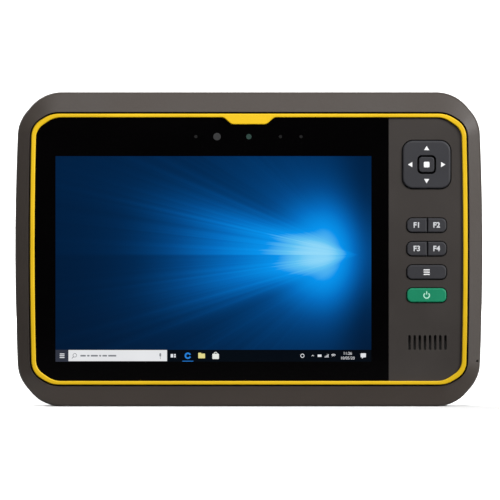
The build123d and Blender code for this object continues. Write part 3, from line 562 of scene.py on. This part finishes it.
def search_marks():
    """A magnifier, six dashes in place of words, and a voice mark."""
    lens_x = SEARCH_X0 + 3.0 * MM
    marks = [bar_arc(lens_x, 0.2, 0.85, 0.25, 0, 355),
             bar_shape(lens_x, (-0.6, -0.3), (-1.5, -1.2), (-1.3, -1.4), (-0.4, -0.5))]
    word_x = SEARCH_X0 + 5.6 * MM
    for length in (2.6, 1.2, 3.4, 1.0, 2.2, 3.8):
        marks.append(bar_tile(word_x + length * MM / 2, 0.0, length, 0.75, 0.3))
        word_x += (length + 0.55) * MM
    voice_x = SEARCH_X1 - 3.2 * MM
    return marks + [bar_tile(voice_x, 0.4, 0.8, 1.7, 0.38), bar_box(voice_x, -0.12, 0.12, -1.5, -0.7)]


def add_lit(mesh, name, material):
    """One lit piece of the picture."""
    finish_piece(mesh, name, material, "root")


def add_marks(outlines, name, glow, colour):
    """Marks of one colour on the task bar."""
    add_lit(plaques(outlines, MARK_Y, MARK_DEPTH), name, glowing(glow, colour))


def add_app_marks():
    """An open ring over a line, a folder and a bag."""
    ring_x = LIT_X0 + 62.4 * MM
    line = box_outline(ring_x - 2.6 * MM, ring_x + 2.6 * MM, LIT_Z0 + 0.1 * MM, LIT_Z0 + 0.4 * MM)
    add_marks([bar_arc(ring_x, 0.0, 1.15, 0.75, 20, 340), line], "picture_blue_marks",
              "mark_blue", (0.02, 0.22, 0.72))
    folder_x = LIT_X0 + 68.9 * MM
    folder = [bar_tile(folder_x, -0.1, 3.2, 2.2, 0.25),
              bar_tile(folder_x - 0.9 * MM, 1.1, 1.4, 0.6, 0.2)]
    add_marks(folder, "picture_yellow_marks", "mark_yellow", (0.80, 0.72, 0.28))
    bag_x = LIT_X0 + 75.5 * MM
    bag = [bar_tile(bag_x, -0.3, 3.1, 2.5, 0.35), bar_arc(bag_x, 0.9, 0.75, 0.28, 0, 180)]
    add_marks(bag, "picture_bag_mark", "mark_bag", (0.82, 0.84, 0.80))


def add_picture():
    """The lit picture and its task bar, just in front of the glass."""
    bar_y = GLASS_Y - 2 * SHEET
    tile_y = GLASS_Y - 3 * SHEET
    add_lit(plaques([box_outline(LIT_X0, LIT_X1, LIT_Z0, LIT_Z1)], GLASS_Y - SHEET, SHEET),
            "display_picture", wallpaper())
    add_lit(plaques([box_outline(LIT_X0, LIT_X1, LIT_Z0, BAR_TOP)], bar_y, SHEET),
            "picture_bar", glowing("bar_black", (0.0012, 0.0030, 0.0060)))
    add_lit(plaques([box_outline(LIT_X0, LIT_X0 + 6.0 * MM, LIT_Z0, BAR_TOP)], tile_y, SHEET),
            "picture_home_tile", glowing("tile_grey", (0.032, 0.037, 0.055)))
    field = box_outline(SEARCH_X0, SEARCH_X1, LIT_Z0 + 0.25 * MM, BAR_TOP - 0.1 * MM)
    add_lit(plaques([field], tile_y, SHEET),
            "picture_search_field", glowing("field_white", (0.80, 0.81, 0.83)))
    shapes = [plaques(start_marks() + tray_marks() + notice_marks(), MARK_Y, MARK_DEPTH)]
    for text, up in (("11:26", 1.05), ("10/05/20", -1.15)):
        shapes.append(lettering(text, LIT_X1 - 11.2 * MM, BAR_MIDDLE + up * MM, 1.9 * MM,
                                MARK_Y, MARK_DEPTH))
    add_lit(merged(shapes), "picture_white_marks", glowing("mark_white", (0.78, 0.80, 0.84)))
    add_marks(search_marks(), "picture_grey_marks", "mark_grey", (0.22, 0.23, 0.25))
    add_app_marks()


add_picture()


# ---------------------------------------------------------------- legends on the keys
LEGEND = 0.04 * MM
legend_white = moulded("legend_white", (0.74, 0.74, 0.75), 0.5, depth=0.000004, wear=0.0)
legend_grey = moulded("legend_grey", (0.52, 0.53, 0.55), 0.5, depth=0.000004, wear=0.0)
legend_green = moulded("legend_green", (0.38, 0.70, 0.55), 0.5, depth=0.000004, wear=0.0)


def middle_of(node):
    """Middle of a CAD node's box and the depth of its front face."""
    low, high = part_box(node)
    return (low.x + high.x) / 2, (low.z + high.z) / 2, low.y


def add_legends():
    """Arrows, the select square, key numbers, the menu mark and the power mark."""
    pad_x, pad_z, pad_y = middle_of("dpad")
    reach, base, height = 7.8 * MM, 2.5 * MM, 2.1 * MM
    arrows = []
    for turn in range(4):
        angle = turn * math.pi / 2
        out = (math.cos(angle), math.sin(angle))
        side = (-out[1], out[0])
        tip = reach + height * 0.5
        foot = reach - height * 0.5
        arrows.append([
            (pad_x + out[0] * tip, pad_z + out[1] * tip),
            (pad_x + out[0] * foot + side[0] * base / 2, pad_z + out[1] * foot + side[1] * base / 2),
            (pad_x + out[0] * foot - side[0] * base / 2, pad_z + out[1] * foot - side[1] * base / 2),
        ])
    finish_piece(plaques(arrows, pad_y - LEGEND, LEGEND * 1.5), "dpad_arrows", legend_white,
                 "dpad")
    key_x, key_z, key_y = middle_of("select_key")
    square = [soft_box(key_x, key_z, 2.7 * MM, 2.7 * MM, 0.45 * MM)]
    finish_piece(plaques(square, key_y - LEGEND, LEGEND * 1.5), "select_mark", legend_white,
                 "select_key")

    number_offset, number_size = 4.65 * MM, 3.5 * MM
    pair_x = (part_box("f1_key")[0].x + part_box("f2_key")[1].x) / 2
    for number, side in ((1, -1), (2, 1), (3, -1), (4, 1)):
        node = f"f{number}_key"
        _, key_z, key_y = middle_of(node)
        text = lettering(f"F{number}", pair_x + side * number_offset, key_z, number_size,
                         key_y - LEGEND / 2, LEGEND * 2, bold=0.13 * MM, narrow=0.98)
        finish_piece(text, f"legend_f{number}", legend_grey, node)

    key_x, key_z, key_y = middle_of("menu_key")
    tiles = [soft_box(key_x, key_z + step * 1.05 * MM, 3.0 * MM, 0.60 * MM, 0.28 * MM)
             for step in (-1, 0, 1)]
    finish_piece(plaques(tiles, key_y - LEGEND, LEGEND * 1.5), "menu_mark", legend_white,
                 "menu_key")
    key_x, key_z, key_y = middle_of("power_key")
    ring = [arc_band(key_x, key_z - 0.1 * MM, 1.3 * MM, 0.6 * MM, 128, 412),
            soft_box(key_x, key_z + 1.1 * MM, 0.55 * MM, 1.6 * MM, 0.25 * MM)]
    finish_piece(plaques(ring, key_y - LEGEND, LEGEND * 1.5), "power_mark", legend_green,
                 "power_key")


add_legends()


# ---------------------------------------------------------------- windows in the black border
def add_border_windows():
    """The camera, the light sensor and the status lamps, seen through the black border."""
    layer = GLASS_Y - SHEET
    camera_x, camera_z, _ = middle_of("front_camera")
    lens = polished("lens_green", (0.022, 0.044, 0.037), 0.05, 0.6)
    finish_piece(plaques([disc_outline(camera_x, camera_z, 1.25 * MM)], layer, SHEET),
                 "camera_lens_window", lens, "root")
    sensor_x, sensor_z, _ = middle_of("light_sensor")
    grey = polished("sensor_grey", (0.030, 0.030, 0.031), 0.2, 0.3)
    finish_piece(plaques([disc_outline(sensor_x, sensor_z, 1.75 * MM)], layer, SHEET),
                 "light_sensor_window", grey, "root")
    low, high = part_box("indicator_leds")
    lamp_z = (low.z + high.z) / 2
    lamp_radius = 0.75 * MM
    inset, lamp_gap = 1.3 * MM, 9.7 * MM
    spots = (low.x + inset, high.x - inset - lamp_gap, high.x - inset)
    faint = polished("lamp_faint", (0.011, 0.011, 0.011), 0.25, 0.3)
    finish_piece(plaques([disc_outline(x, lamp_z, lamp_radius) for x in spots], layer, SHEET),
                 "status_lamp_windows", faint, "root")


add_border_windows()


# ---------------------------------------------------------------- details on the back
BACK_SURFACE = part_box("rear_housing")[1].y
PIN_HOLE = 0.0001 * MM


def lathed(profile, x, z, steps=48):
    """A ring or a dish turned round an axis along Y from a closed loop of (radius, y) points."""
    form = bmesh.new()
    turns = []
    for k in range(steps):
        angle = 2 * math.pi * k / steps
        turns.append([form.verts.new((x + r * math.cos(angle), y, z + r * math.sin(angle)))
                      for r, y in profile])
    for k in range(steps):
        here, there = turns[k], turns[(k + 1) % steps]
        for i in range(len(profile)):
            j = (i + 1) % len(profile)
            form.faces.new((here[i], here[j], there[j], there[i]))
    bmesh.ops.recalc_face_normals(form, faces=form.faces)
    mesh = bpy.data.meshes.new("lathed")
    form.to_mesh(mesh)
    form.free()
    return mesh


def collar(inner, outer, y, height):
    """Cross-section of a ring with softened edges that stands on a surface facing the back."""
    soft = min(height, outer - inner) * 0.3
    return [(inner, y), (inner, y + height - soft), (inner + soft, y + height),
            (outer - soft, y + height), (outer, y + height - soft), (outer, y)]


def add_camera_details():
    """Bezels of the rear camera and its lamp, and the rings seen in the lens."""
    low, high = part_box("camera_window")
    x, z, back = (low.x + high.x) / 2, (low.z + high.z) / 2, high.y
    radius = (high.x - low.x) / 2
    surface = max(back, BACK_SURFACE) - 0.05 * MM
    bezel = metal("bezel_metal", (0.10, 0.10, 0.105), 0.3, stretch=(1.0, 1.0, 1.0))
    finish_piece(lathed(collar(radius * 0.98, radius + 1.1 * MM, surface, 0.6 * MM), x, z),
                 "camera_bezel", bezel, "root")
    barrel = [collar(radius * f, radius * f + 0.45 * MM, back - 0.01 * MM, 0.12 * MM)
              for f in (0.34, 0.54, 0.76)]
    rings = metal("barrel_rings", (0.045, 0.045, 0.050), 0.5, stretch=(1.0, 1.0, 1.0))
    finish_piece(merged([lathed(ring, x, z) for ring in barrel]), "camera_barrel_rings", rings,
                 "root")
    glint = polished("lens_violet", (0.010, 0.010, 0.034), 0.03, 0.7)
    finish_piece(lathed(collar(PIN_HOLE, radius * 0.30, back - 0.01 * MM, 0.25 * MM), x, z),
                 "camera_front_lens", glint, "root")
    low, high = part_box("flash_lamp")
    x, z = (low.x + high.x) / 2, (low.z + high.z) / 2
    radius = (high.x - low.x) / 2
    finish_piece(lathed(collar(radius, radius + 0.7 * MM, surface, 0.45 * MM), x, z),
                 "flash_bezel", bezel, "root")


def add_battery_details(side):
    """A charge gauge of four dots and a button, and grip ribs, on one battery pack."""
    node = f"battery_{side}"
    low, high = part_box(node)
    middle = (low.x + high.x) / 2
    surface = high.y - 0.02 * MM
    gauge_z = low.z + 7.5 * MM
    panel = plaques([soft_box(middle, gauge_z, 26 * MM, 6.4 * MM, 2.0 * MM)], surface, 0.08 * MM)
    finish_piece(panel, f"{node}_gauge_panel", MATERIALS["black_plastic"], node)
    dots = [lathed(collar(PIN_HOLE, 0.85 * MM, surface + 0.06 * MM, 0.14 * MM),
                   middle + (step - 2.4) * 4.0 * MM, gauge_z, 24) for step in range(4)]
    lit = moulded("gauge_lens", (0.13, 0.16, 0.13), 0.35, grain=900.0, depth=0.000004, wear=0.0)
    finish_piece(merged(dots), f"{node}_gauge_dots", lit, node)
    button = lathed(collar(PIN_HOLE, 1.9 * MM, surface + 0.06 * MM, 0.35 * MM),
                    middle + 9.4 * MM, gauge_z, 32)
    finish_piece(button, f"{node}_gauge_button", MATERIALS["key_rubber"], node)
    ribs = []
    for step in range(6):
        rib_z = low.z + (16.0 + step * 2.6) * MM
        ribs.append(soft_box(middle, rib_z, 46 * MM, 1.1 * MM, 0.5 * MM))
    finish_piece(plaques(ribs, surface, 0.3 * MM), f"{node}_ribs", MATERIALS["battery_case"],
                 node)


def add_latch_marks(side):
    """Small arrow beside a latch that shows which way it opens."""
    low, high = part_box(f"latch_{side}")
    outward = -1 if side == "left" else 1
    tip, foot, half = 2.2 * MM, 0.6 * MM, 1.7 * MM
    x = high.x + 9.0 * MM if outward > 0 else low.x - 9.0 * MM
    z = (low.z + high.z) / 2
    surface = BACK_SURFACE - 0.02 * MM
    arrow = [(x + outward * tip, z), (x - outward * foot, z + half), (x - outward * foot, z - half)]
    bar_x = x - outward * tip
    bar = box_outline(bar_x - 0.35 * MM, bar_x + 0.35 * MM, z - half, z + half)
    finish_piece(plaques([arrow, bar], surface, 0.1 * MM), f"latch_{side}_mark", legend_grey,
                 "root")


def add_rating_plate():
    """Blank satin plate with four rivets and three plain lines."""
    low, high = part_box("camera_window")
    x, z = (low.x + high.x) / 2 + 6.0 * MM, low.z - 12.5 * MM
    surface = BACK_SURFACE - 0.02 * MM
    width, height, rivet_inset = 30 * MM, 10 * MM, 1.6 * MM
    plate = plaques([soft_box(x, z, width, height, 1.2 * MM)], surface, 0.22 * MM)
    satin = metal("plate_satin", (0.17, 0.17, 0.175), 0.5, stretch=(1.0, 1.0, 30.0))
    finish_piece(plate, "rating_plate", satin, "root")
    rivets = [lathed(collar(PIN_HOLE, 0.7 * MM, surface + 0.2 * MM, 0.25 * MM),
                     x + sx * (width / 2 - rivet_inset), z + sz * (height / 2 - rivet_inset), 20)
              for sx in (-1, 1) for sz in (-1, 1)]
    finish_piece(merged(rivets), "rating_plate_rivets", MATERIALS["steel"], "root")
    lines = [soft_box(x + 9 * MM - 0.5 * length * MM, z + step * 1.8 * MM, length * MM,
                      0.5 * MM, 0.2 * MM)
             for step, length in ((1, 18.0), (0, 14.0), (-1, 16.0))]
    finish_piece(plaques(lines, surface + 0.2 * MM, 0.06 * MM), "rating_plate_lines",
                 MATERIALS["black_plastic"], "root")


def loose_parts(mesh):
    """Points of each unconnected part of a mesh, the parts in the mesh's own order."""
    form = bmesh.new()
    form.from_mesh(mesh)
    seen = set()
    parts = []
    for start in form.verts:
        if start in seen:
            continue
        island = {start}
        edge = {start}
        while edge:
            edge = {e.other_vert(v) for v in edge for e in v.link_edges} - island
            island |= edge
        seen |= island
        parts.append([v.co.copy() for v in island])
    form.free()
    return parts


def add_screw_shade(node, depth):
    """Painted shade: a near-black disc on the floor of the hexagonal socket in every screw of one
    node.
    """
    sockets = []
    for points in loose_parts(NODES[node].data):
        places = [NODES[node].matrix_world @ point for point in points]
        x = (min(p.x for p in places) + max(p.x for p in places)) / 2
        z = (min(p.z for p in places) + max(p.z for p in places)) / 2
        head = max(p.x for p in places) - x
        floor = max(p.y for p in places) - depth
        sockets.append(plaques([disc_outline(x, z, head * 0.42, 24)], floor - 0.02 * MM, 0.06 * MM))
    # near-black colour painted on the socket floors as the shade inside each recess
    shade = moulded(f"{node}_socket_painted_shade", (0.003, 0.003, 0.003), 0.9, wear=0.0)
    finish_piece(merged(sockets), f"{node}_socket_floors", shade, "root")


add_camera_details()
add_screw_shade("case_screws", 1.2 * MM)
add_screw_shade("cover_screws", 0.9 * MM)
for pack_side in ("left", "right"):
    add_battery_details(pack_side)
    add_latch_marks(pack_side)
add_rating_plate()


# ---------------------------------------------------------------- studio
def add_lamp(name, kind, place, aim, energy, **settings):
    """A lamp at a place, turned to shine at a point."""
    light = bpy.data.lights.new(name, kind)
    light.energy = energy
    for key, value in settings.items():
        setattr(light, key, value)
    lamp = bpy.data.objects.new(name, light)
    lamp.location = place
    lamp.rotation_euler = (Vector(aim) - Vector(place)).to_track_quat("-Z", "Y").to_euler()
    lamp.visible_camera = False
    bpy.context.scene.collection.objects.link(lamp)


FLOOR_RADIUS = 5.0
FLOOR_RIM = 5.8
WALL_TOP = 0.85
FLOOR_STEPS = 96
CURVE_STEPS = 12


def floor_profile():
    """The floor's section outside its middle: flat, then curved up into a low wall."""
    rise = FLOOR_RIM - FLOOR_RADIUS
    profile = [(FLOOR_RADIUS, 0.0)]
    for i in range(1, CURVE_STEPS + 1):
        angle = math.pi / 2 * i / CURVE_STEPS
        profile.append((FLOOR_RADIUS + rise * math.sin(angle), rise * (1 - math.cos(angle))))
    return profile + [(FLOOR_RIM, WALL_TOP)]


def add_floor():
    """A pale bowl-shaped floor, which throws no light back on the object."""
    turns = [2 * math.pi * k / FLOOR_STEPS for k in range(FLOOR_STEPS)]
    form = bmesh.new()
    centre = form.verts.new((0, 0, 0))
    rings = [[form.verts.new((r * math.cos(turn), r * math.sin(turn), z)) for turn in turns]
             for r, z in floor_profile()]
    for k in range(FLOOR_STEPS):
        after = (k + 1) % FLOOR_STEPS
        form.faces.new((centre, rings[0][k], rings[0][after]))
        for inner, outer in zip(rings, rings[1:]):
            form.faces.new((inner[k], outer[k], outer[after], inner[after]))
    mesh = bpy.data.meshes.new("studio_floor")
    form.to_mesh(mesh)
    form.free()
    for face in mesh.polygons:
        face.use_smooth = True
    floor = bpy.data.objects.new("studio_floor", mesh)
    bpy.context.scene.collection.objects.link(floor)
    pale = Shader("floor_pale", (0.88, 0.88, 0.88), 0.8)
    pale.feed("Base Color", pale.mix(pale.noise(3.0), (0.87, 0.87, 0.87), (0.89, 0.89, 0.89)))
    mesh.materials.append(pale.material)
    floor.visible_diffuse = False


def add_world():
    """White surroundings that fade towards the ground."""
    low_z, high_z, low_strength, high_strength = -0.10, 0.30, 0.04, 0.35
    world = bpy.data.worlds.new("studio")
    world.use_nodes = True
    bpy.context.scene.world = world
    nodes = world.node_tree.nodes
    links = world.node_tree.links
    background = nodes["Background"]
    background.inputs["Color"].default_value = (1.0, 1.0, 1.0, 1.0)
    place = nodes.new("ShaderNodeTexCoord")
    axes = nodes.new("ShaderNodeSeparateXYZ")
    fade = nodes.new("ShaderNodeMapRange")
    links.new(place.outputs["Generated"], axes.inputs[0])
    links.new(axes.outputs["Z"], fade.inputs["Value"])
    for index, value in enumerate((low_z, high_z, low_strength, high_strength), 1):
        fade.inputs[index].default_value = value
    links.new(fade.outputs[0], background.inputs["Strength"])


def add_lamps():
    """Suns from the right and from behind, a strip over the face, and a lamp on the backdrop."""
    origin = (0.0, 0.0, 0.0)
    middle = (CAD_BOX[0] + CAD_BOX[1]) / 2
    face = Vector((middle.x, CAD_BOX[0].y, middle.z))
    add_lamp("key", "SUN", (0.76, -0.62, 0.39), origin, 4.1, angle=math.radians(24))
    add_lamp("back", "SUN", (-0.50, 0.62, 0.60), origin, 5.0, angle=math.radians(50))
    add_lamp("overhead", "AREA", face + Vector((0.02, -0.22, 0.25)), face, 0.92,
             shape="RECTANGLE", size=0.40, size_y=0.12)
    add_lamp("backdrop", "AREA", (0.0, 2.5, 0.9), (0.0, 5.6, 0.3), 120.0,
             shape="RECTANGLE", size=2.0, size_y=1.0)


def add_flags():
    """Black cards in front of the face, seen only in reflections, as round a studio camera."""
    low, _ = CAD_BOX
    near, far = low.y - 0.02, low.y - 1.1
    half, top, lift = 0.75, 0.9, 0.001
    cards = {
        "flag_floor": ((-half, near, lift), (half, near, lift), (half, far, lift), (-half, far, lift)),
        "flag_back": ((-half, far, lift), (half, far, lift), (half, far, top), (-half, far, top)),
    }
    black = Shader("card_black", (0.004, 0.004, 0.004), 0.9)
    black.feed("Base Color", black.mix(black.noise(5.0), (0.003, 0.003, 0.003), (0.005, 0.005, 0.005)))
    for name, points in cards.items():
        mesh = bpy.data.meshes.new(name)
        mesh.from_pydata(points, [], [(0, 1, 2, 3)])
        mesh.materials.append(black.material)
        card = bpy.data.objects.new(name, mesh)
        bpy.context.scene.collection.objects.link(card)
        card.visible_camera = False
        card.visible_diffuse = False
        card.visible_shadow = False
        card.visible_transmission = False


VIEW_WIDTH = 0.23577
VIEW_OFFSET_X = 0.55 * MM
VIEW_OFFSET_Z = -0.35 * MM
RING_DEPTH = 1.8 * MM


def add_camera():
    """A long lens, level and square to the face."""
    low, high = CAD_BOX
    camera = bpy.data.cameras.new("camera")
    camera.lens = 400.0
    camera.sensor_width = 36.0
    camera.clip_start = 0.01
    distance = camera.lens / camera.sensor_width * VIEW_WIDTH
    holder = bpy.data.objects.new("camera", camera)
    holder.location = ((low.x + high.x) / 2 + VIEW_OFFSET_X, low.y + RING_DEPTH - distance,
                       (low.z + high.z) / 2 + VIEW_OFFSET_Z)
    holder.rotation_euler = (math.pi / 2, 0.0, 0.0)
    bpy.context.scene.collection.objects.link(holder)
    bpy.context.scene.camera = holder


add_floor()
add_world()
add_lamps()
add_flags()
add_camera()
bpy.context.scene.view_settings.view_transform = "Standard"
